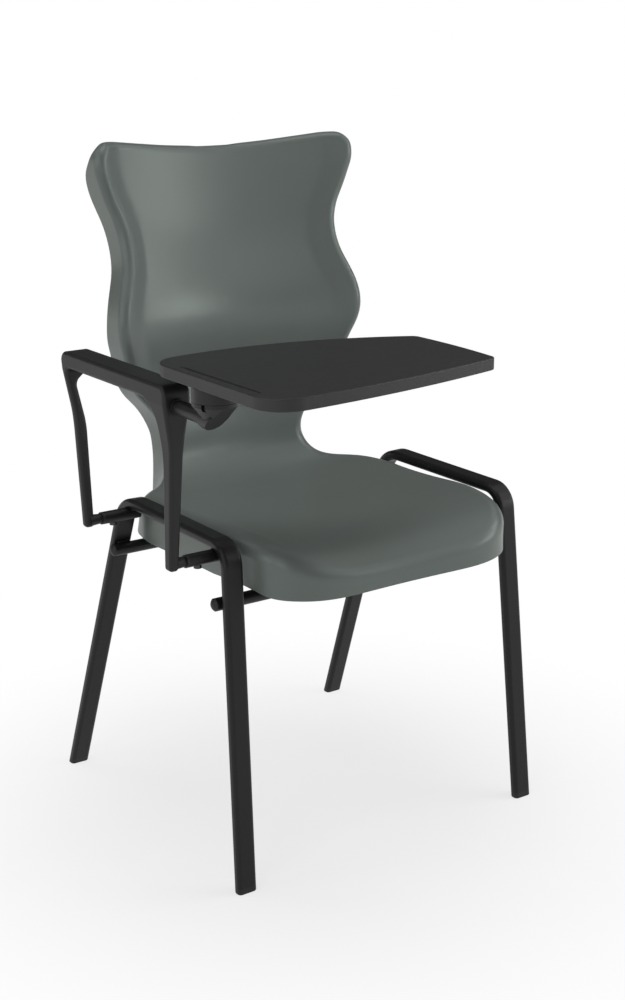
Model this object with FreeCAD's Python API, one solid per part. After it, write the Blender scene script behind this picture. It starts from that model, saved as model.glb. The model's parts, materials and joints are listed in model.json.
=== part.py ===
import FreeCAD, Part
import math
import os

V = FreeCAD.Vector

# School chair with one armrest and a folding writing tablet, in millimetres.
# The sitter faces -Y, the armrest is on the -X side and +Z is up.

# Stance of the two bent side frames, measured on the tube's centre line
foot_half_span = 252.5
foot_depth = 502.8
rail_half_span = 239.0
rail_height = 484.0
front_bend_y = -203.8
rear_bend_y = 75.7
front_bend_radius = 31.0
rear_bend_radius = 48.0

# Flat-oval leg tube
tube_width = 30.0
tube_depth = 15.0
tube_corner = 6.0
tube_wall = 1.5

# Foot caps, flush with the tube
cap_height = 9.0
cap_plug = 22.0
cap_edge = 2.0

# Round crossbars and their domed end plugs
bar_radius = 9.0
bar_wall = 1.5
bar_drop = 79.0
bar_overhang = 3.0
plug_rim = 1.5
plug_dome = 4.5
plug_depth = 14.0
weld_bite = 0.4

# Sockets under the left rail that take the armrest's pegs
socket_radius = 9.0
socket_reach = 52.0
socket_tail = 6.0
front_socket_inset = 25.8
rear_socket_inset = 18.7
peg_radius = 6.0
peg_depth = 40.0
peg_in_arm = 5.0
bush_length = 4.0
socket_screw_radius = 2.5
socket_screw_inset = 16.0

# Seat and back shell: middle line of the sitter's surface, depth and height over the rail
seat_line = [
    (-292, -56), (-286.5, -46), (-274, -32.5), (-254, -20.5), (-230, -12.5), (-200, -8.5),
    (-100, -12.5), (0, -17.5), (70, -18),
]
turn_line = [(119, -9), (148, 18), (156.5, 62)]
back_line = [
    (169, 121), (168, 176), (160.5, 226), (172.5, 291), (193.5, 361), (202.5, 426), (206, 481),
    (207, 506),
]
# Half width of the rim line: along the seat by depth, then up the back by height over the rail
seat_front_y = -279.5
seat_rim = [
    (-279.5, 70), (-277.5, 112), (-267.5, 147), (-245.5, 172), (-205, 184), (-160, 189),
    (-100, 191), (0, 194), (50, 195), (85, 184.5), (106, 157), (126.5, 126.5),
]
neck_rim = [(4, 108), (30, 105), (57, 107.5)]
wing_rim = [
    (83.5, 123), (113, 147.5), (142, 172), (170, 183.5), (201, 193), (230, 202.5), (269, 196),
    (306, 182), (349, 177.5), (392, 186), (420, 198), (446, 207.5),
]
top_rim = [(466, 212), (481, 207.5), (487, 170), (482, 120), (478.5, 80), (476, 40)]
back_top = 474.5
# How far the side wings of the back curl forward at the rim, by height, and over what width
wing_rises = [(82, 0.5), (140, 3), (197, 5), (228, 6.5), (286, 10), (351, 10), (416, 8), (466, 9)]
wing_width = 34.0
seat_dish_radius = 1300.0
back_wrap_radius = 620.0
shell_wall = 4.0
shell_side_gap = 5.0
rim_radius = 24.0
back_rim_radius = 11.0
skirt_gap = 6.5
seat_skirt = 43.0
neck_skirt = 10.0
apron_drop = 8.0
apron_run = 50.0
back_skirt = 34.0
top_skirt = 2.0
taper_height = 430.0
taper_run = 58.0
back_skirt_droop = 10.0

# Moulded bosses and screws that hold the shell on the crossbars
boss_radius = 13.0
boss_half_span = 110.0
seat_screw_radius = 2.5
seat_screw_grip = 22.0
screw_head_radius = 5.5
screw_head_height = 3.5

# Armrest: one inverted U, wide on top, slim at the feet
arm_stand_off = 74.0
arm_rise = 228.0
arm_foot_drop = 8.9
arm_waist_rise = 171.0
arm_front_lead = 22.0
arm_rear_lead = 33.0
arm_bar_depth = 23.0
arm_half_top = 20.0
arm_outer_waist = 13.0
arm_outer_foot = 8.5
front_inner_waist = 7.5
rear_inner_waist = 4.0
rear_inner_top = -4.0
arm_inner_foot = 5.5
front_foot_depth = 17.0
front_waist_depth = 24.0
front_top_depth = 30.0
front_lean = 3.0
rear_foot_depth = 14.0
rear_waist_depth = 14.0
rear_top_depth = 16.0
rear_lean = 8.0
arm_top_corner = 13.0
arm_foot_corner = 5.0
front_inner_corner = 42.0
rear_inner_corner = 9.0
upright_bow = 200.0
arm_scoop = 22.0
arm_edge = 5.0
arm_lap = 1.0
shoulder_radius = 8.5
shoulder_neck = 7.0

# Tablet hinge: axle along Y in the front upright, then the swivelling turret
axle_radius = 5.0
axle_drop = 28.0
axle_in_arm = 18.0
collar_radius = 11.0
collar_length = 6.0
barrel_radius = 9.5
barrel_flare = 10.5
barrel_flange_radius = 13.0
barrel_flange = 9.0
barrel_reach = 73.0
knuckle_radius = 14.0
knuckle_plate = 5.0
knuckle_chin = 13.0
axle_short = 2.0
swivel_inset = 3.0
turret_radius = 29.0
turret_height = 18.0
turret_lift = 24.5
swivel_pin_radius = 4.0
swivel_pin_depth = 13.0
swivel_pin_in_turret = 10.0
turret_screw_radius = 2.0
turret_screw_head = 4.0
turret_screw_circle = 20.0
turret_screw_count = 3
turret_screw_in_tablet = 9.0
notch_width = 5.0
notch_height = 9.0
notch_depth = 6.0
notch_turn = 208.0

# Writing tablet, measured from the swivel axis
tablet_thickness = 16.0
tablet_heel = 29.0
tablet_reach = 351.0
tip_rake = 7.0
heel_rear = 109.0
heel_front = 173.0
tip_rear = 50.0
tip_front = 123.0
rear_bulge = 35.0
front_bulge = 10.0
tip_bulge = 4.0
heel_rear_corner = 44.0
heel_front_corner = 42.0
tip_corner = 13.0
tablet_edge = 1.5
groove_radius = 3.0
groove_length = 172.0
groove_inset = 14.0
groove_rear = 51.0

# Clearances
slide_gap = 0.05
hole_gap = 0.4
part_gap = 0.4
saddle_gap = 1.0

# Fineness of the shell's grid, and a reach beyond every piece for cutting blocks
grid_rows = 60
grid_columns = 44
rim_steps = 128
roll_steps = 6
far = 2000.0

right = V(1, 0, 0)
ahead = V(0, -1, 0)
up = V(0, 0, 1)


def unit(vector):
    return vector * (1.0 / vector.Length)


def cylinder(radius, length, start, direction):
    return Part.makeCylinder(radius, length, start, direction)


def slab(bottom, top):
    return Part.makeBox(2 * far, 2 * far, top - bottom, V(-far, -far, bottom))


def rounded_path(points, radii, closed):
    """Wire of straight runs joined by tangent arcs."""
    count = len(points)
    corners = range(count) if closed else range(1, count - 1)
    cuts = {}
    for i in corners:
        corner = points[i]
        back = unit(points[i - 1] - corner)
        onward = unit(points[(i + 1) % count] - corner)
        half = back.getAngle(onward) / 2
        reach = radii[i] / math.tan(half)
        middle = unit(back + onward) * (radii[i] / math.sin(half) - radii[i])
        cuts[i] = (corner + back * reach, corner + middle, corner + onward * reach)
    edges = []
    runs = range(count) if closed else range(count - 1)
    for i in runs:
        j = (i + 1) % count
        start = cuts[i][2] if i in cuts else points[i]
        end = cuts[j][0] if j in cuts else points[j]
        edges.append(Part.LineSegment(start, end).toShape())
        if j in cuts:
            edges.append(Part.Arc(*cuts[j]).toShape())
    return Part.Wire(edges)


def swept_oval(points, radii, width, depth, corner):
    """Flat-oval bar along a path in the YZ plane, wide side along X."""
    across = unit(points[1] - points[0]).cross(right)
    w = width / 2
    d = depth / 2
    outline = []
    for a, b in ((w, d), (-w, d), (-w, -d), (w, -d)):
        outline.append(points[0] + right * a + across * b)
    profile = rounded_path(outline, [corner] * 4, True)
    path = rounded_path(points, radii, False)
    return path.makePipeShell([profile], True, False)


nodes = {}

# Side frames: sweep each U upright, lean it out to the feet and trim at the caps
foot_reach = foot_depth / 2
front_slope = (front_bend_y + foot_reach) / rail_height
rear_slope = (foot_reach - rear_bend_y) / rail_height
below = tube_width
frame_path = [
    V(0, -foot_reach - front_slope * below, -below),
    V(0, front_bend_y, rail_height),
    V(0, rear_bend_y, rail_height),
    V(0, foot_reach + rear_slope * below, -below),
]
lean = math.degrees(math.asin((foot_half_span - rail_half_span) / rail_height))
bends = [0, front_bend_radius, rear_bend_radius, 0]
upright_tube = swept_oval(frame_path, bends, tube_width, tube_depth, tube_corner)
upright_bore = swept_oval(
    frame_path, bends,
    tube_width - 2 * tube_wall, tube_depth - 2 * tube_wall, tube_corner - tube_wall)


def on_side(shape, side):
    placed = shape.copy()
    placed.rotate(V(0, 0, rail_height), V(0, 1, 0), -side * lean)
    placed.translate(right * (side * rail_half_span))
    return placed


tubes = {}
for side, word in ((-1, "left"), (1, "right")):
    tube = on_side(upright_tube, side)
    bore = on_side(upright_bore, side)
    tubes[word] = tube
    above = slab(cap_height, rail_height + tube_width)
    nodes[word + "_side_frame"] = tube.cut(bore).common(above)
    for end, place in (("front", -far), ("rear", 0)):
        sole_half = Part.makeBox(2 * far, far, cap_height, V(-far, place, 0))
        plug_half = Part.makeBox(2 * far, far, cap_plug, V(-far, place, cap_height))
        sole = tube.common(sole_half)
        sole_rim = [edge for edge in sole.Edges if edge.BoundBox.ZMax < cap_edge / 10]
        sole = sole.makeFillet(cap_edge, sole_rim)
        cap = sole.fuse(bore.common(plug_half))
        nodes[end + "_" + word + "_foot_cap"] = cap.removeSplitter()

# Crossbars sit against the inner sides of the legs
bar_height = rail_height - bar_drop
stand_off = tube_depth / 2 + bar_radius - weld_bite
front_bar_y = front_bend_y - front_slope * bar_drop + stand_off / math.cos(math.atan(front_slope))
rear_bar_y = rear_bend_y + rear_slope * bar_drop - stand_off / math.cos(math.atan(rear_slope))
leg_outer_x = rail_half_span + bar_drop * math.tan(math.radians(lean)) + tube_width / 2
bar_half = leg_outer_x + bar_overhang
dome_ball = (bar_radius ** 2 + plug_dome ** 2) / (2 * plug_dome)
end_caps = []
for word, y in (("front", front_bar_y), ("rear", rear_bar_y)):
    start = V(-bar_half, y, bar_height)
    bar = cylinder(bar_radius, 2 * bar_half, start, right)
    bar = bar.cut(cylinder(bar_radius - bar_wall, 2 * bar_half, start, right))
    bar = bar.cut([tubes["left"], tubes["right"]])
    for side in (-1, 1):
        hole_start = V(side * boss_half_span, y, bar_height - 2 * bar_radius)
        bar = bar.cut(cylinder(seat_screw_radius + hole_gap, 4 * bar_radius, hole_start, up))
    nodes[word + "_crossbar"] = bar
    for side in (-1, 1):
        out = right * side
        end = V(side * bar_half, y, bar_height)
        head = cylinder(bar_radius, plug_rim + plug_dome, end, out)
        ball = Part.makeSphere(dome_ball, end + out * (plug_rim + plug_dome - dome_ball))
        stem = cylinder(bar_radius - bar_wall, plug_depth, end - out * plug_depth, out)
        end_caps.append(head.common(ball).fuse(stem))
nodes["crossbar_end_caps"] = Part.Compound(end_caps)

# Arm sockets, bushes at their mouths, pegs and locking screws
socket_z = rail_height - tube_depth / 2 - socket_radius + weld_bite
front_socket_y = front_bend_y + front_socket_inset
rear_socket_y = rear_bend_y - rear_socket_inset
sockets = {"front": front_socket_y, "rear": rear_socket_y}
arm_x = rail_half_span + arm_stand_off
socket_outer_x = rail_half_span + socket_reach
socket_length = socket_reach + socket_tail
bored = peg_radius + slide_gap
bush_x = -socket_outer_x - bush_length
peg_start_x = -arm_x - peg_in_arm
peg_length = peg_depth - socket_outer_x - peg_start_x
bushes = []
pegs = []
socket_screws = []
for word, y in sockets.items():
    mouth = V(-socket_outer_x, y, socket_z)
    body = cylinder(socket_radius, socket_length, mouth, right)
    screw_start = mouth + right * socket_screw_inset - up * (socket_radius + screw_head_height)
    screw_length = socket_radius - bored + screw_head_height
    shank = cylinder(socket_screw_radius, screw_length, screw_start, up)
    head = cylinder(screw_head_radius, screw_head_height + socket_radius, screw_start, up)
    socket_screws.append(head.cut(body).fuse(shank).removeSplitter())
    socket = body.cut([cylinder(bored, socket_length, mouth, right), tubes["left"], shank])
    nodes[word + "_arm_socket"] = socket
    bush = cylinder(socket_radius, bush_length, V(bush_x, y, socket_z), right)
    bushes.append(bush.cut(cylinder(bored, bush_length, V(bush_x, y, socket_z), right)))
    pegs.append(cylinder(peg_radius, peg_length, V(peg_start_x, y, socket_z), right))
nodes["socket_bushes"] = Part.Compound(bushes)
nodes["armrest_pegs"] = Part.Compound(pegs)
nodes["socket_screws"] = Part.Compound(socket_screws)

# Armrest: side view and front view cut one another, then the edges are rounded
arm_top = rail_height + arm_rise
arm_under = arm_top - arm_bar_depth
arm_foot = socket_z - arm_foot_drop
arm_waist = arm_foot + arm_waist_rise
inner_waist = arm_waist - arm_half_top
arm_front_y = front_socket_y - arm_front_lead
arm_rear_y = rear_socket_y + arm_rear_lead
front_heel = front_socket_y - front_foot_depth / 2
rear_heel = rear_socket_y + rear_foot_depth / 2
side_view = [
    (front_heel, arm_foot, arm_foot_corner),
    (arm_front_y - front_lean, arm_waist, upright_bow),
    (arm_front_y, arm_top, arm_top_corner),
    (arm_rear_y, arm_top, arm_top_corner),
    (rear_heel + rear_lean, inner_waist, upright_bow),
    (rear_heel, arm_foot, arm_foot_corner),
    (rear_heel - rear_foot_depth, arm_foot, arm_foot_corner),
    (rear_heel + rear_lean - rear_waist_depth, inner_waist, upright_bow),
    (arm_rear_y - rear_top_depth, arm_under, rear_inner_corner),
    (arm_front_y + front_top_depth, arm_under, front_inner_corner),
    (arm_front_y - front_lean + front_waist_depth, inner_waist, upright_bow),
    (front_heel + front_foot_depth, arm_foot, arm_foot_corner),
]
outline = rounded_path([V(0, y, z) for y, z, r in side_view], [r for y, z, r in side_view], True)
side_prism = Part.Face(outline).extrude(right * -far)
outer_side = [
    (-arm_half_top, arm_top + arm_lap, arm_lap), (-arm_half_top, arm_under - 2 * arm_lap, arm_top_corner),
    (-arm_outer_waist, arm_waist, upright_bow), (-arm_outer_foot, arm_foot - arm_lap, arm_lap),
]
front_inner = [
    (arm_inner_foot, arm_foot - arm_lap, arm_lap), (front_inner_waist, arm_waist, upright_bow),
    (arm_half_top, arm_under - 2 * arm_lap, rear_inner_corner), (arm_half_top, arm_top + arm_lap, arm_lap),
]
rear_inner = [
    (arm_inner_foot, arm_foot - arm_lap, arm_lap), (rear_inner_waist, inner_waist, upright_bow),
    (rear_inner_top, arm_under - arm_scoop, arm_top_corner),
    (arm_half_top, arm_under - 3 * arm_lap, arm_foot_corner), (arm_half_top, arm_top + arm_lap, arm_lap),
]
front_prisms = []
for inner_side, way in ((front_inner, -far), (rear_inner, far)):
    view = inner_side + outer_side
    outline = rounded_path([V(a - arm_x, 0, z) for a, z, r in view], [r for a, z, r in view], True)
    front_prisms.append(Part.Face(outline).extrude(V(0, way, 0)))
armrest = side_prism.common(front_prisms[0].fuse(front_prisms[1])).removeSplitter()
long_edges = [edge for edge in armrest.Edges if edge.Length > 2 * arm_edge]
armrest = armrest.makeFillet(arm_edge, long_edges)

# Shell: the middle line carried sideways with a slight hollow, bounded by the rim line
profile = Part.BSplineCurve()
profile.interpolate([V(0, y, rail_height + z) for y, z in seat_line + turn_line + back_line])
profile_length = profile.length()


def along(spot):
    point = V(0, spot[0], rail_height + spot[1])
    return profile.length(profile.FirstParameter, profile.parameter(point))


def on_profile(distance):
    at = profile.parameterAtDistance(distance, profile.FirstParameter)
    return profile.value(at), right.cross(profile.tangent(at)[0])


def find(axis, value, low, high):
    """Distance along the profile where a coordinate has the given value."""
    for step in range(50):
        middle = (low + high) / 2
        if on_profile(middle)[0][axis] < value:
            low = middle
        else:
            high = middle
    return low


turn_start = along(seat_line[-1])
turn_middle = along(turn_line[1])
turn_end = along(back_line[0])


def seat_at(y):
    return find(1, y, 0, turn_middle)


def back_at(height):
    return find(2, rail_height + height, turn_middle, profile_length)


def line_through(points, marks):
    curve = Part.BSplineCurve()
    curve.interpolate(Points=points, Parameters=marks)
    return curve


def sheet(rows, marks, row_marks):
    """Smooth surface through rows of points, each row with the same marks."""
    first = [line_through(row, marks) for row in rows]
    columns = zip(*[curve.getPoles() for curve in first])
    second = [line_through(list(column), row_marks) for column in columns]
    u, v = first[0], second[0]
    surface = Part.BSplineSurface()
    surface.buildFromPolesMultsKnots(
        [curve.getPoles() for curve in second], u.getMultiplicities(), v.getMultiplicities(),
        u.getKnots(), v.getKnots(), False, False, u.Degree, v.Degree)
    return surface


# The widest part of the rim leaves a gap to the side frames
shell_half = rail_half_span - tube_width / 2 - shell_side_gap - rim_radius
stretch = shell_half / max(half for y, half in seat_rim)


def by_height(values):
    """Curve of a value along the profile from pairs of height and value, held level at the ends."""
    marks = [turn_middle] + [back_at(height) for height, value in values] + [profile_length]
    levels = [values[0][1]] + [value for height, value in values] + [values[-1][1]]
    return line_through([V(mark, level, 0) for mark, level in zip(marks, levels)], marks)


rise_curve = by_height(wing_rises)
wing_curve = by_height(wing_rim)


def ease(x):
    """0 below 0, 1 above 1, smooth between."""
    x = min(max(x, 0), 1)
    return x * x * (3 - 2 * x)


def back_share(distance):
    """0 on the seat, 1 on the back, easing over the turn between them."""
    return ease((distance - turn_start) / (turn_end - turn_start))


def wing_rise(distance, half):
    """Forward curl of the wings: none in the middle, rising in a band inside the rim and level at it."""
    mark = max(distance, turn_middle)
    across = max((abs(half) - wing_curve.value(mark).y * stretch) / wing_width + 1, 0)
    return rise_curve.value(mark).y * ease(across)


def sitter_point(distance, half):
    share = back_share(distance)
    hollow = (1 - share) / seat_dish_radius + share / back_wrap_radius
    lift = hollow * half * half / 2 + share * wing_rise(distance, half)
    point, normal = on_profile(distance)
    return point + right * half + normal * lift


def sitter_normal(distance, half):
    step = 0.5
    forward = sitter_point(distance + step, half) - sitter_point(distance - step, half)
    across = sitter_point(distance, half + step) - sitter_point(distance, half - step)
    return unit(across.cross(forward))


# Rim line, from the middle of the seat's front edge to the middle of the back's top edge
stations = [V(seat_at(seat_front_y), 0, 0)]
stations += [V(seat_at(y), half * stretch, 0) for y, half in seat_rim]
stations += [V(back_at(height), half * stretch, 0) for height, half in neck_rim + wing_rim + top_rim]
stations.append(V(back_at(back_top), 0, 0))
rim_curve = Part.BSplineCurve()
rim_curve.interpolate(stations, InitialTangent=V(0, 1, 0), FinalTangent=V(0, -1, 0))
rim_start = rim_curve.FirstParameter
rim_span = rim_curve.LastParameter - rim_start
skirt_bottom = bar_height + bar_radius + skirt_gap
apron_start = front_bar_y - 2 * bar_radius
rim = []
for i in range(rim_steps + 1):
    at = rim_start + rim_span * i / rim_steps
    spot = rim_curve.value(at)
    step = rim_curve.tangent(at)[0] * 0.5
    base = sitter_point(spot.x, spot.y)
    normal = sitter_normal(spot.x, spot.y)
    before = sitter_point(spot.x - step.x, spot.y - step.y)
    after = sitter_point(spot.x + step.x, spot.y + step.y)
    outward = unit(unit(after - before).cross(normal))
    share = back_share(spot.x)
    droop = math.radians(90 - math.sqrt(share) * (90 - back_skirt_droop))
    skirt_way = V(0, math.cos(droop), -math.sin(droop))
    turn = math.atan2(-skirt_way.dot(normal), skirt_way.dot(outward))
    edge_radius = rim_radius + share * (back_rim_radius - rim_radius)
    rim.append((base, normal, outward, turn, share, edge_radius))

rim_marks = [0.0]
for before, after in zip(rim, rim[1:]):
    rim_marks.append(rim_marks[-1] + (after[0] - before[0]).Length)
roll_marks = [k / roll_steps for k in range(roll_steps + 1)]
half_limit = shell_half + rim_radius
margin = 1.0
grid_lengths = [
    margin + (profile_length - 2 * margin) * i / grid_rows for i in range(grid_rows + 1)]
grid_halves = [half_limit * (2 * i / grid_columns - 1) for i in range(grid_columns + 1)]


def mirrored(points):
    return [V(-p.x, p.y, p.z) for p in points]


def shell_skin(depth):
    """Faces of the shell at a depth under the sitter's surface, and the skirt's free edges."""
    grid = []
    for half in grid_halves:
        grid.append([sitter_point(d, half) - sitter_normal(d, half) * depth for d in grid_lengths])
    base_surface = sheet(grid, grid_lengths, grid_halves)
    rolls = [[] for k in roll_marks]
    tips = []
    for base, normal, outward, turn, share, edge_radius in rim:
        radius = edge_radius - depth
        for k, row in zip(roll_marks, rolls):
            a = turn * k
            swing = outward * (radius * math.sin(a)) + normal * (radius * math.cos(a))
            row.append(base - normal * edge_radius + swing)
        way = outward * math.cos(turn) - normal * math.sin(turn)
        bend = outward * math.sin(turn) + normal * math.cos(turn)
        bend_end = base + (bend - normal) * edge_radius
        seat_drop = min(bend_end.z - skirt_bottom, seat_skirt)
        seat_drop = seat_drop + apron_drop * ease((apron_start - base.y) / apron_run)
        taper = min(max((base.z - rail_height - taper_height) / taper_run, 0), 1) ** 2
        back_drop = back_skirt + taper * (top_skirt - back_skirt) + 4 * (1 - share) * neck_skirt
        drop = (1 - share) * seat_drop + share * back_drop
        tips.append(rolls[-1][-1] + way * drop)
    start_right = line_through(rolls[0], rim_marks).toShape()
    start_left = line_through(mirrored(rolls[0]), rim_marks).toShape()
    middle = Part.Face(base_surface, Part.Wire([start_right, start_left]))
    middle.validate()
    faces = [middle]
    free_edges = []
    for side_rolls, side_tips in ((rolls, tips), ([mirrored(row) for row in rolls], mirrored(tips))):
        faces.append(sheet(side_rolls, rim_marks, roll_marks).toShape())
        roll_end = line_through(side_rolls[-1], rim_marks).toShape()
        free_edges.append(line_through(side_tips, rim_marks).toShape())
        faces.append(Part.makeRuledSurface(roll_end, free_edges[-1]))
    return faces, free_edges


upper, upper_free = shell_skin(0)
under, under_free = shell_skin(shell_wall)
strips = [Part.makeRuledSurface(a, b) for a, b in zip(upper_free, under_free)]
skin = Part.Compound(upper + under + strips)
skin.sewShape(slide_gap)
shell = Part.Solid(skin.Shells[0])
if shell.Volume < 0:
    shell.reverse()

# Bosses under the seat reach down to the crossbars, held by screws from below
seat_screws = []
for y in (front_bar_y, rear_bar_y):
    for side in (-1, 1):
        foot = V(side * boss_half_span, y, bar_height)
        post = cylinder(boss_radius, bar_drop + tube_depth, foot, up)
        post = min(post.cut(shell).Solids, key=lambda piece: piece.BoundBox.ZMin)
        post = post.cut(cylinder(bar_radius, 4 * boss_radius, foot - right * (2 * boss_radius), right))
        head_top = foot - up * bar_radius
        shank = cylinder(seat_screw_radius, 2 * bar_radius + seat_screw_grip, head_top, up)
        head = cylinder(
            screw_head_radius, screw_head_height, head_top - up * screw_head_height, up)
        seat_screws.append(head.fuse(shank).removeSplitter())
        shell = shell.fuse(post).cut(shank)
nodes["seat_shell"] = shell
nodes["seat_screws"] = Part.Compound(seat_screws)

# Hinge line: axle, collar and barrel stay with the armrest
axle_height = arm_top - axle_drop


def hinge_at(y):
    return V(-arm_x, y, axle_height)


barrel_end_y = arm_front_y - barrel_reach
turret_y = barrel_end_y - knuckle_radius
axle_start = arm_front_y + axle_in_arm
knuckle_rear = barrel_end_y - part_gap
knuckle_front = turret_y - knuckle_radius
axle_end = turret_y + axle_short
axle = cylinder(axle_radius, axle_start - axle_end, hinge_at(axle_start), ahead)
armrest = armrest.cut(axle)
nodes["hinge_axle"] = axle
collar_end = arm_front_y - collar_length
collar = cylinder(collar_radius, axle_start - collar_end, hinge_at(axle_start), ahead)
collar = collar.cut([armrest, axle])
nodes["hinge_collar"] = min(collar.Solids, key=lambda piece: piece.BoundBox.YMin)
flare_y = barrel_end_y + barrel_flange
flange_y = barrel_end_y + barrel_flange / 2
sleeve = Part.makeCone(barrel_radius, barrel_flare, collar_end - flare_y, hinge_at(collar_end), ahead)
flare = Part.makeCone(barrel_flare, barrel_flange_radius, flare_y - flange_y, hinge_at(flare_y), ahead)
flange = cylinder(barrel_flange_radius, flange_y - barrel_end_y, hinge_at(flange_y), ahead)
nodes["hinge_barrel"] = sleeve.fuse([flare, flange]).removeSplitter().cut(axle)

# Pegs pass through tapered shoulders on the armrest's feet
for y in sockets.values():
    shoulder = Part.makeCone(
        shoulder_radius, shoulder_neck, bush_x + arm_x, V(-arm_x, y, socket_z), right)
    armrest = armrest.fuse(shoulder)
nodes["armrest"] = armrest.removeSplitter().cut(pegs)

# Knuckle: round the axle below, spreading to the turret's plate above
turret_bottom = axle_height + turret_lift
plate_under = turret_bottom - part_gap - knuckle_plate
swivel = V(swivel_inset - arm_x, turret_y, 0)
knuckle = cylinder(knuckle_radius, knuckle_rear - knuckle_front, hinge_at(knuckle_rear), ahead)
throat = Part.makeCone(
    knuckle_radius, turret_radius, plate_under - axle_height, swivel + up * axle_height, up)
plate = cylinder(turret_radius, knuckle_plate, swivel + up * plate_under, up)
knuckle = knuckle.fuse([throat, plate]).removeSplitter()
saddle = barrel_flange_radius + saddle_gap
knuckle = knuckle.cut(cylinder(saddle, axle_start - knuckle_rear, hinge_at(axle_start), ahead))
chin_low = axle_height - knuckle_radius
chin = [
    V(-arm_x, turret_y - turret_radius, plate_under),
    V(-arm_x, turret_y + knuckle_chin, chin_low - knuckle_plate),
    V(-arm_x, turret_y - 2 * turret_radius, chin_low - knuckle_plate),
    V(-arm_x, turret_y - 2 * turret_radius, plate_under),
]
chin_block = Part.Face(Part.makePolygon(chin + chin[:1])).extrude(right * (4 * turret_radius))
chin_block.translate(right * (-2 * turret_radius))
axle_bore = cylinder(
    axle_radius + slide_gap, axle_start - axle_end + part_gap, hinge_at(axle_start), ahead)
pin_bottom = turret_bottom - swivel_pin_depth
pin_bore = cylinder(
    swivel_pin_radius + slide_gap, swivel_pin_depth + part_gap,
    swivel + up * (pin_bottom - part_gap), up)
notch_floor = plate_under + knuckle_plate - notch_height
notch = Part.makeBox(
    2 * notch_depth, notch_width, notch_height,
    V(turret_radius - notch_depth, -notch_width / 2, notch_floor))
notch.rotate(V(0, 0, 0), up, notch_turn)
notch.translate(swivel)
nodes["hinge_knuckle"] = knuckle.cut([chin_block, axle_bore, pin_bore, notch])

# Turret, swivel pin and the tablet they carry
tablet_under = turret_bottom + turret_height
turret = cylinder(turret_radius, turret_height, swivel + up * turret_bottom, up)
swivel_pin = cylinder(
    swivel_pin_radius, swivel_pin_depth + swivel_pin_in_turret, swivel + up * pin_bottom, up)
nodes["swivel_pin"] = swivel_pin
turret_screws = []
head_rooms = []
for i in range(turret_screw_count):
    angle = math.radians(90 + 360 * i / turret_screw_count)
    spot = swivel + V(math.cos(angle), math.sin(angle), 0) * turret_screw_circle
    seat = spot + up * (turret_bottom + part_gap)
    head = cylinder(turret_screw_head, screw_head_height, seat, up)
    shank = cylinder(
        turret_screw_radius, turret_height - part_gap + turret_screw_in_tablet, seat, up)
    turret_screws.append(head.fuse(shank).removeSplitter())
    head_rooms.append(cylinder(turret_screw_head, part_gap, spot + up * turret_bottom, up))
nodes["turret"] = turret.cut([swivel_pin] + turret_screws + head_rooms)
nodes["turret_screws"] = Part.Compound(turret_screws)


def tablet_point(x, y):
    return swivel + V(x, y, tablet_under)


corners = [
    tablet_point(-tablet_heel, heel_rear), tablet_point(tablet_reach, tip_rear),
    tablet_point(tablet_reach - tip_rake, -tip_front), tablet_point(-tablet_heel, -heel_front),
]
sides = []
for start, end, bulge in zip(corners, corners[1:], (rear_bulge, tip_bulge, front_bulge)):
    sideways = unit(up.cross(end - start))
    middle = (start + end) * 0.5 + sideways * bulge
    sides.append(Part.Arc(start, middle, end).toShape())
sides.append(Part.LineSegment(corners[3], corners[0]).toShape())
tablet = Part.Face(Part.Wire(sides)).extrude(up * tablet_thickness)
radii = [heel_rear_corner, tip_corner, tip_corner, heel_front_corner]
for corner, radius in zip(corners, radii):
    upright = []
    for edge in tablet.Edges:
        if max(vertex.Point.distanceToLine(corner, up) for vertex in edge.Vertexes) < slide_gap:
            upright.append(edge)
    tablet = tablet.makeFillet(radius, upright)
flat_edges = [edge for edge in tablet.Edges if edge.BoundBox.ZLength < slide_gap]
tablet = tablet.makeFillet(tablet_edge, flat_edges)
groove_start = tablet_point(groove_inset - tablet_heel, groove_rear)
groove_start = groove_start + up * tablet_thickness
groove_end = groove_start + ahead * groove_length
groove = cylinder(groove_radius, groove_length, groove_start, ahead)
for end in (groove_start, groove_end):
    groove = groove.fuse(Part.makeSphere(groove_radius, end))
nodes["writing_tablet"] = tablet.cut([groove] + turret_screws)

# Overall frame: origin on the floor under the middle of the outline
box = Part.Compound(list(nodes.values())).optimalBoundingBox(False, False)
to_origin = V(-box.Center.x, -box.Center.y, 0)
os.makedirs("parts", exist_ok=True)
for name, shape in nodes.items():
    shape.translate(to_origin)
    shape.exportStep("parts/" + name + ".step")
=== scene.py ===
# %% [markdown]
# School chair with an armrest and a folding writing tablet.
# The solids of the chair come in as a fixed frame: each one already sits at its real place and size.
# Everything that follows dresses that frame: a camera, a pale studio, finishes and small welded details.

# %% Load the frame
import bpy
import json
import math
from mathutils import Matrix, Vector


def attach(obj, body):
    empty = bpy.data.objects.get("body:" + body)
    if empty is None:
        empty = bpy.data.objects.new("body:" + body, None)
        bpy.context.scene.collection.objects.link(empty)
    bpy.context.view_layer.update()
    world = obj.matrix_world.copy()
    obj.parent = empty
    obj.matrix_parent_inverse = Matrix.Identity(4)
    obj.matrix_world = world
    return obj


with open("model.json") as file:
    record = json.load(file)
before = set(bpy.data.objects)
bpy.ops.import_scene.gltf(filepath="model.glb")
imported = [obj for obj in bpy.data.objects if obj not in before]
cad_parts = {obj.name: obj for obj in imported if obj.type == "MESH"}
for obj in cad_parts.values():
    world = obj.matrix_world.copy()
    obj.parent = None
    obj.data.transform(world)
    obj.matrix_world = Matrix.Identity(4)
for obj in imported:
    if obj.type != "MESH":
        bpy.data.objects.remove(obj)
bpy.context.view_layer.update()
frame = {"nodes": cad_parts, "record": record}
nodes = frame["nodes"]

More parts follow.
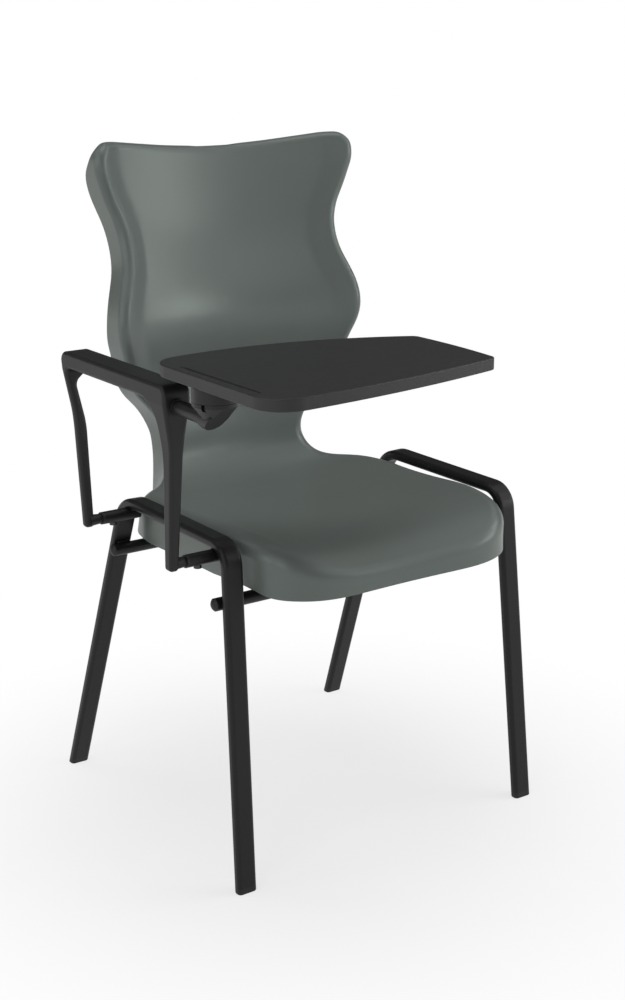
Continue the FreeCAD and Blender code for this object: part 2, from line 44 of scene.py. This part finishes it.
# %% [markdown]
# The camera stands a little above the tablet, to the left of a viewer in front of the chair.
# A lens can be matched by eye, but the four feet give it exactly:
# points on one floor fix the camera's height, turn and zoom.
# The lens is a little longer than Blender's default of 50 mm, which keeps the legs nearly parallel.

# %% Camera
camera_place = (-1.28510, -1.84328, 1.1573)
camera_dip = 16.55
camera_turn = -34.91
lens = bpy.data.cameras.new("chair_view")
lens.sensor_width = 36.0
lens.lens = 58.59
lens.clip_end = 80.0
camera = bpy.data.objects.new("chair_view", lens)
camera.location = camera_place
camera.rotation_euler = (math.radians(90 - camera_dip), 0, math.radians(camera_turn))
bpy.context.collection.objects.link(camera)
scene = bpy.context.scene
scene.camera = camera
scene.view_settings.view_transform = "Standard"
print("camera at", [round(v, 2) for v in camera.location], "lens", lens.lens)

# %% [markdown]
# Shader maths reads best as plain sums,
# so one small class wraps a socket and lets Python's operators add Math nodes.
# The reflected forms make expressions such as 1 - mask work as written.
# Every other node comes from one method: its type, its settings, then the values or links of its sockets.

# %% Shader expressions


class Socket:
    """One output of a node tree, usable in Python expressions."""

    def __init__(self, tree, output=None):
        self.tree = tree
        self.output = output

    def node(self, kind, settings=None, output=0, **inputs):
        """Add a node: settings are its properties, inputs its sockets by name, or i0, i1 by place."""
        made = self.tree.nodes.new(kind)
        for key, value in (settings or {}).items():
            setattr(made, key, value)
        for key, value in inputs.items():
            by_place = key[0] == "i" and key[1:].isdigit()
            socket = made.inputs[int(key[1:]) if by_place else key.replace("_", " ")]
            if isinstance(value, Socket):
                self.tree.links.new(value.output, socket)
            else:
                socket.default_value = value
        return Socket(self.tree, made.outputs[output])

    def math(self, operation, first, second):
        return self.node("ShaderNodeMath", {"operation": operation}, i0=first, i1=second)

    def __add__(self, other):
        return self.math("ADD", self, other)

    __radd__ = __add__

    def __sub__(self, other):
        return self.math("SUBTRACT", self, other)

    def __rsub__(self, other):
        return self.math("SUBTRACT", other, self)

    def __mul__(self, other):
        return self.math("MULTIPLY", self, other)

    __rmul__ = __mul__

    def ease(self, low, high):
        """0 below low, 1 above high, smooth between."""
        return self.node(
            "ShaderNodeMapRange", {"interpolation_type": "SMOOTHSTEP"},
            Value=self, From_Min=low, From_Max=high)


print("socket operators: + - * with reflected forms")

# %% [markdown]
# A finish starts from an empty tree and ends at the material's output.
# Patterns read Object coordinates: every solid sits at the origin, so these are plain metres on the chair,
# and one grain runs over all pieces of a kind without seams or stretching.

# %% Start and end of a finish


def new_finish(name):
    """An empty material, a handle for adding nodes, and the object coordinates."""
    material = bpy.data.materials.new(name)
    material.use_nodes = True
    material.node_tree.nodes.clear()
    made = Socket(material.node_tree)
    return material, made, made.node("ShaderNodeTexCoord", output="Object")


def close_finish(material, surface):
    """Lead the surface to the material's output."""
    out = material.node_tree.nodes.new("ShaderNodeOutputMaterial")
    material.node_tree.links.new(surface.output, out.inputs["Surface"])
    print("finish:", material.name, "with", len(material.node_tree.nodes), "nodes")
    return material


print("finish helpers: new_finish, close_finish")

# %% [markdown]
# The studio is one pale sheet with wide soft lamps, as in a catalogue shot.
# A bright background could come from stronger lamps, but that would bleach the chair as well.
# Here the camera sees the sheet mixed with plain white, wholly so away from the chair and partly near it,
# so a soft shadow stays under the seat and the lamps keep a plain level.

# %% Floor sheet
sheet_size = 60.0
sheet_grey = (0.92, 0.92, 0.92, 1)
plain_white = (1, 1, 1, 1)
near_white = 0.68
fade_start, fade_end = 0.20, 0.80


def viewing_rays(made):
    """Two masks: 1 for rays from the camera, 1 for rays that a glossy or clear piece sends on."""
    seen = made.node("ShaderNodeLightPath", output="Is Camera Ray")
    glossy = made.node("ShaderNodeLightPath", output="Is Glossy Ray")
    clear = made.node("ShaderNodeLightPath", output="Is Transmission Ray")
    return seen, glossy + clear


bpy.ops.object.select_all(action="DESELECT")
bpy.ops.mesh.primitive_plane_add(size=sheet_size, location=(0, 0, 0))
floor = bpy.context.object
floor.name = "floor"
paper, made, place = new_finish("paper")
far_off = made.node("ShaderNodeVectorMath", {"operation": "LENGTH"}, output="Value", i0=place)
fade = near_white + (1 - near_white) * far_off.ease(fade_start, fade_end)
lit = made.node("ShaderNodeBsdfDiffuse", Color=sheet_grey)
white = made.node("ShaderNodeEmission", Color=plain_white, Strength=1.0)
seen, mirrored = viewing_rays(made)
sheet = made.node("ShaderNodeMixShader", i0=fade * (seen + mirrored), i1=lit, i2=white)
close_finish(paper, sheet)
floor.data.materials.append(paper)

# %% [markdown]
# Wide lamps give soft edges: a lamp's size against its distance sets how soft a shadow is.
# Each lamp is placed by its turn from the front and its height angle,
# and all stand equally far from the middle of the chair, where they aim.
# Next to the wide overhead lamp, the strongest stand to the front right,
# so the hollow of the back is light on the left and darkens to the right.

# %% Lamps
lamp_aim = Vector((0.04, 0.10, 0.62))
lamp_distance = 3.2


def soft_lamp(name, turn, lift, width, power):
    """A square lamp; turn is from the front towards the sitter's left, lift is above the floor."""
    data = bpy.data.lights.new(name, "AREA")
    data.size = width
    data.energy = power
    lamp = bpy.data.objects.new(name, data)
    flat = math.cos(math.radians(lift))
    way = Vector((
        math.sin(math.radians(turn)) * flat, -math.cos(math.radians(turn)) * flat,
        math.sin(math.radians(lift))))
    lamp.location = lamp_aim + way * lamp_distance
    lamp.rotation_euler = way.to_track_quat("Z", "Y").to_euler()
    lamp.visible_camera = False
    bpy.context.collection.objects.link(lamp)


lamps = [
    ("right_low", 50, 8, 0.9, 20.8),
    ("right_side", 66, 24, 0.9, 14.4),
    ("right_high", 57, 42, 1.2, 4.0),
    ("right_back", 90, 42, 1.3, 6.4),
    ("front_right", 32, 33, 1.2, 5.5),
    ("near_camera", -26, 8, 1.6, 2.0),
    ("left_low", -60, 15, 1.3, 14.0),
    ("left_high", -60, 42, 1.3, 6.7),
    ("side_low", -95, 15, 1.3, 14.0),
    ("side_high", -95, 42, 1.3, 4.2),
    ("behind_left", -135, 42, 1.3, 6.9),
    ("overhead", 0, 85, 2.4, 39.3),
]
for lamp_row in lamps:
    soft_lamp(*lamp_row)
print("lamps:", [lamp_row[0] for lamp_row in lamps])

# %% [markdown]
# The sky is an even grey fill, as from the walls of a studio.
# To the camera it is white like the sheet, and reflections see that white only near the horizon,
# where the sheet ends, so black pieces keep their depth.

# %% Sky
sky_level = 0.09
horizon_band = 0.06
world = bpy.data.worlds.new("studio_sky")
world.use_nodes = True
scene.world = world
world.node_tree.nodes.clear()
made = Socket(world.node_tree)
way_out = made.node("ShaderNodeTexCoord", output="Generated")
height = made.node("ShaderNodeSeparateXYZ", output="Z", Vector=way_out)
near_horizon = 1 - height.ease(0.0, horizon_band)
seen, mirrored = viewing_rays(made)
whiteness = seen + mirrored * near_horizon
sky = made.node(
    "ShaderNodeBackground", Color=plain_white, Strength=sky_level + (1 - sky_level) * whiteness)
out = world.node_tree.nodes.new("ShaderNodeOutputWorld")
world.node_tree.links.new(sky.output, out.inputs["Surface"])
print("sky fill:", sky_level)

# %% [markdown]
# The shell is one moulding of grey-green plastic with a satin skin.
# A single colour would look like wet paint, so the skin gets a fine spark-eroded grain in its bump,
# a slow drift of colour, and gloss that grows a little where clothes rub the seat and the lumbar swell.

# %% Shell finish
shell_colour = (0.128, 0.146, 0.136)
shell_gloss_tint = (0.87, 1.0, 0.93, 1)
seat_middle, seat_reach = Vector((0.036, 0.04, 0.48)), 0.22
lumbar_middle, lumbar_reach = Vector((0.036, 0.26, 0.71)), 0.20
worn_core = 0.3


def rubbed(made, place, middle, reach):
    """1 in the core of a worn spot, fading to 0 at its reach."""
    away = made.node(
        "ShaderNodeVectorMath", {"operation": "DISTANCE"}, output="Value", i0=place, i1=middle)
    return 1 - away.ease(reach * worn_core, reach)


def tinted(made, mask, colour, spread):
    """A colour that drifts darker and lighter with a mask."""
    dark = tuple(c * (1 - spread) for c in colour) + (1,)
    pale = tuple(c * (1 + spread) for c in colour) + (1,)
    return made.node("ShaderNodeMix", {"data_type": "RGBA"}, output=2, i0=mask, i6=dark, i7=pale)


shell_skin, made, place = new_finish("grey_green_shell")
drift = made.node("ShaderNodeTexNoise", Vector=place, Scale=5.0, Detail=3.0)
grain = made.node("ShaderNodeTexNoise", Vector=place, Scale=1300.0, Detail=2.0)
cells = made.node("ShaderNodeTexVoronoi", Vector=place, Scale=900.0)
polish = rubbed(made, place, seat_middle, seat_reach) + rubbed(made, place, lumbar_middle, lumbar_reach)
shell_rough = 0.35 + (drift - 0.5) * 0.10 + (grain - 0.5) * 0.08 - polish * 0.04
relief = made.node("ShaderNodeBump", Strength=0.10, Distance=0.0003, Height=grain + cells * 0.6)
skin = made.node(
    "ShaderNodeBsdfPrincipled", Base_Color=tinted(made, drift, shell_colour, 0.05),
    Roughness=shell_rough, Normal=relief, Specular_IOR_Level=0.45, Specular_Tint=shell_gloss_tint)
close_finish(shell_skin, skin)

# %% [markdown]
# The legs, rails and bars are steel tube with a baked black powder coat.
# Powder melts into a skin with a faint orange peel, far finer than a brush would leave,
# so a soft rolling bump does more for it than any colour. Scuffs near the floor dull it slightly.

# %% Powder coat
coat_colour = (0.0090, 0.0091, 0.0094)
scuff_full, scuff_end = 0.03, 0.22
powder_coat, made, place = new_finish("black_powder_coat")
peel = made.node("ShaderNodeTexNoise", Vector=place, Scale=420.0, Detail=1.0)
drift = made.node("ShaderNodeTexNoise", Vector=place, Scale=9.0, Detail=2.0)
scuff = made.node("ShaderNodeTexNoise", Vector=place, Scale=60.0, Detail=4.0, Roughness=0.7)
height = made.node("ShaderNodeSeparateXYZ", output="Z", Vector=place)
near_floor = 1 - height.ease(scuff_full, scuff_end)
scuffed = scuff.ease(0.56, 0.66) * near_floor
coat_rough = 0.40 + (drift - 0.5) * 0.08 + scuffed * 0.15
relief = made.node("ShaderNodeBump", Strength=0.16, Distance=0.0003, Height=peel)
skin = made.node(
    "ShaderNodeBsdfPrincipled", Base_Color=tinted(made, drift, coat_colour, 0.10),
    Roughness=coat_rough, Normal=relief, Specular_IOR_Level=0.27)
close_finish(powder_coat, skin)

# %% [markdown]
# Armrest, hinge and end caps are black plastics that differ in how their moulds were etched.
# They could share one material, but the eye tells them apart by gloss and grain,
# so one function makes the family:
# each member has its own blackness, gloss, and the size and depth of its grain.

# %% Black plastics


def black_plastic(name, level, rough, grain_size, depth, gloss):
    """Etched black plastic; grain_size and depth are in metres."""
    material, made, place = new_finish(name)
    drift = made.node("ShaderNodeTexNoise", Vector=place, Scale=8.0, Detail=3.0)
    cells = made.node("ShaderNodeTexVoronoi", Vector=place, Scale=1 / grain_size)
    fine = made.node("ShaderNodeTexNoise", Vector=place, Scale=2.5 / grain_size, Detail=2.0)
    handled = rough + (drift - 0.5) * 0.12 + (fine - 0.5) * 0.08
    relief = made.node("ShaderNodeBump", Strength=0.25, Distance=depth, Height=cells + fine * 0.5)
    skin = made.node(
        "ShaderNodeBsdfPrincipled", Base_Color=tinted(made, drift, (level, level, level * 1.02), 0.12),
        Roughness=handled, Normal=relief, Specular_IOR_Level=gloss)
    return close_finish(material, skin)


arm_black = black_plastic(
    "black_armrest", level=0.0118, rough=0.46, grain_size=0.0011, depth=0.0003, gloss=0.30)
hinge_black = black_plastic(
    "black_hinge", level=0.0110, rough=0.44, grain_size=0.0009, depth=0.0002, gloss=0.32)
cap_black = black_plastic(
    "black_cap", level=0.0120, rough=0.52, grain_size=0.0010, depth=0.0002, gloss=0.35)

# %% [markdown]
# The tablet is a board with a matt, finely pebbled writing face.
# Pens and sleeves leave faint strokes that show only in the gloss,
# so a stretched noise goes into the roughness and not into the colour.
# The edge is the same board, rounded over.

# %% Tablet board
board_colour = (0.0248, 0.0249, 0.0253)
stroke_turn = (0, 0, 0.5)
stroke_scale = (14.0, 260.0, 1.0)
board_black, made, place = new_finish("black_tablet")
drift = made.node("ShaderNodeTexNoise", Vector=place, Scale=6.0, Detail=3.0)
pebble = made.node("ShaderNodeTexVoronoi", Vector=place, Scale=1100.0)
along = made.node("ShaderNodeMapping", Vector=place, Rotation=stroke_turn, Scale=stroke_scale)
strokes = made.node("ShaderNodeTexNoise", Vector=along, Scale=1.0, Detail=2.0)
board_rough = 0.50 + (drift - 0.5) * 0.08 + strokes.ease(0.60, 0.75) * 0.05
relief = made.node("ShaderNodeBump", Strength=0.25, Distance=0.00025, Height=pebble)
skin = made.node(
    "ShaderNodeBsdfPrincipled", Base_Color=tinted(made, drift, board_colour, 0.08),
    Roughness=board_rough, Normal=relief, Specular_IOR_Level=0.35)
close_finish(board_black, skin)

# %% [markdown]
# Screws, pins and the axle are steel. Left bright they would sparkle as white dots against the black frame,
# so they are blackened, as furniture screws usually are: a metal with a dark, slightly blotchy skin.

# %% Blackened steel
steel_colour = (0.060, 0.060, 0.064)
dark_steel, made, place = new_finish("blackened_steel")
blotch = made.node("ShaderNodeTexNoise", Vector=place, Scale=300.0, Detail=4.0)
turned = made.node("ShaderNodeTexNoise", Vector=place, Scale=2200.0, Detail=1.0)
steel_rough = 0.38 + (blotch - 0.5) * 0.2
relief = made.node("ShaderNodeBump", Strength=0.15, Distance=0.0001, Height=turned)
skin = made.node(
    "ShaderNodeBsdfPrincipled", Base_Color=tinted(made, blotch, steel_colour, 0.25),
    Roughness=steel_rough, Metallic=1.0, Normal=relief)
close_finish(dark_steel, skin)

# %% [markdown]
# Each solid of the frame names a material slot, so dressing is one loop from slot to finish.
# Matching by slot keeps every piece of a kind alike, and a new piece of that kind needs no further line.

# %% Dress the solids
finish_of_slot = {
    "shell_plastic": shell_skin, "frame_paint": powder_coat, "cap_plastic": cap_black,
    "armrest_plastic": arm_black, "hinge_plastic": hinge_black, "tablet_board": board_black,
    "bare_steel": dark_steel,
}
for entry in frame["record"]["subparts"]:
    piece = nodes[entry["node"]]
    piece.data.materials.clear()
    piece.data.materials.append(finish_of_slot[entry["material_slot"]])

# %% [markdown]
# Where a bar or socket lies against the frame, the tubes are welded before they are coated.
# A weld could be a plain rod in the groove,
# but a welder lays it in small overlapping drops, and the ripple shows through the coat.
# So one bead is drawn out ring by ring: a short cylinder is extruded along its length,
# each ring a little fuller or slimmer than the one before, and both ends taper off.

# %% One weld bead
bead_radius = 0.0022
bead_sides = 12
drop_length = 0.0013
drops = 6
swell = 1.16
drop_rings = [(0.5 * drop_length, swell), (0.5 * drop_length, 1 / swell)]
tail_rings = [(0.7 * drop_length, 0.8), (0.5 * drop_length, 0.5)]


def draw_out(piece, side):
    """Extrude the end face on one side of the piece into drops and a tapered end."""
    bpy.ops.mesh.select_all(action="DESELECT")
    bpy.ops.object.mode_set(mode="OBJECT")
    for face in piece.data.polygons:
        face.select = face.normal.x * side > 0.9
    bpy.ops.object.mode_set(mode="EDIT")
    for length, size in drop_rings * drops + tail_rings:
        bpy.ops.mesh.extrude_region_move(TRANSFORM_OT_translate={"value": (side * length, 0, 0)})
        bpy.ops.transform.resize(value=(1, size, size))


bpy.ops.object.select_all(action="DESELECT")
bpy.ops.mesh.primitive_cylinder_add(
    vertices=bead_sides, radius=bead_radius, depth=drop_length, rotation=(0, math.radians(90), 0))
bead = bpy.context.object
bpy.ops.object.transform_apply(location=False, rotation=True, scale=False)
bpy.ops.object.mode_set(mode="EDIT")
bpy.ops.mesh.select_mode(type="FACE")
draw_out(bead, 1)
draw_out(bead, -1)
bpy.ops.mesh.select_all(action="SELECT")
bpy.ops.mesh.normals_make_consistent(inside=False)
bpy.ops.object.mode_set(mode="OBJECT")
rounded = bead.modifiers.new("rounded", "SUBSURF")
rounded.levels = rounded.render_levels = 1
bpy.ops.object.modifier_apply(modifier=rounded.name)
bpy.ops.object.shade_smooth()
bead.data.materials.append(powder_coat)
print("bead:", len(bead.data.polygons), "faces,", round(bead.dimensions.x * 1000, 1), "mm long")

# %% [markdown]
# A round bar against a flat tube leaves two grooves, one on each side of the line where they touch.
# The beads could be set by eye,
# but the grooves follow from the bar's middle and the tilt of the face it touches:
# a step towards that face, then a step to either side.

# %% Welds on the frame
bar_radius = 0.009
bead_sink = 0.0020
bead_aside = 0.0073
leg_left, leg_right = -0.2054, 0.2770
rail_left = -0.2035
front_bar = (-0.09558, 0.405)
rear_bar = (0.18706, 0.405)
front_socket = (-0.07819, 0.4679)
rear_socket = (0.15681, 0.4679)
to_front_leg, to_rear_leg, to_rail = 174.4, 19.9, 90.0
seams = [
    ("front_left", leg_left, front_bar, to_front_leg, (1, -1)),
    ("front_right", leg_right, front_bar, to_front_leg, (1, -1)),
    ("rear_left", leg_left, rear_bar, to_rear_leg, (1, -1)),
    ("rear_right", leg_right, rear_bar, to_rear_leg, (1, -1)),
    ("front_socket", rail_left, front_socket, to_rail, (1, -1)),
    ("rear_socket", rail_left, rear_socket, to_rail, (1,)),
]
welds = []
for seam, across, middle, tilt, sides in seams:
    towards = Vector((0, math.cos(math.radians(tilt)), math.sin(math.radians(tilt))))
    aside = Vector((0, -towards.z, towards.y))
    for side in sides:
        bpy.ops.object.select_all(action="DESELECT")
        bead.select_set(True)
        bpy.context.view_layer.objects.active = bead
        bpy.ops.object.duplicate()
        weld = bpy.context.object
        weld.name = "weld_" + seam + ("_a" if side > 0 else "_b")
        spot = Vector((across, *middle)) + towards * (bar_radius - bead_sink) + aside * (bead_aside * side)
        bpy.ops.transform.translate(value=spot)
        bpy.ops.object.transform_apply(location=True, rotation=False, scale=False)
        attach(weld, "chair")
        welds.append(weld)
bpy.data.objects.remove(bead)
print("welds:", [weld.name for weld in welds])
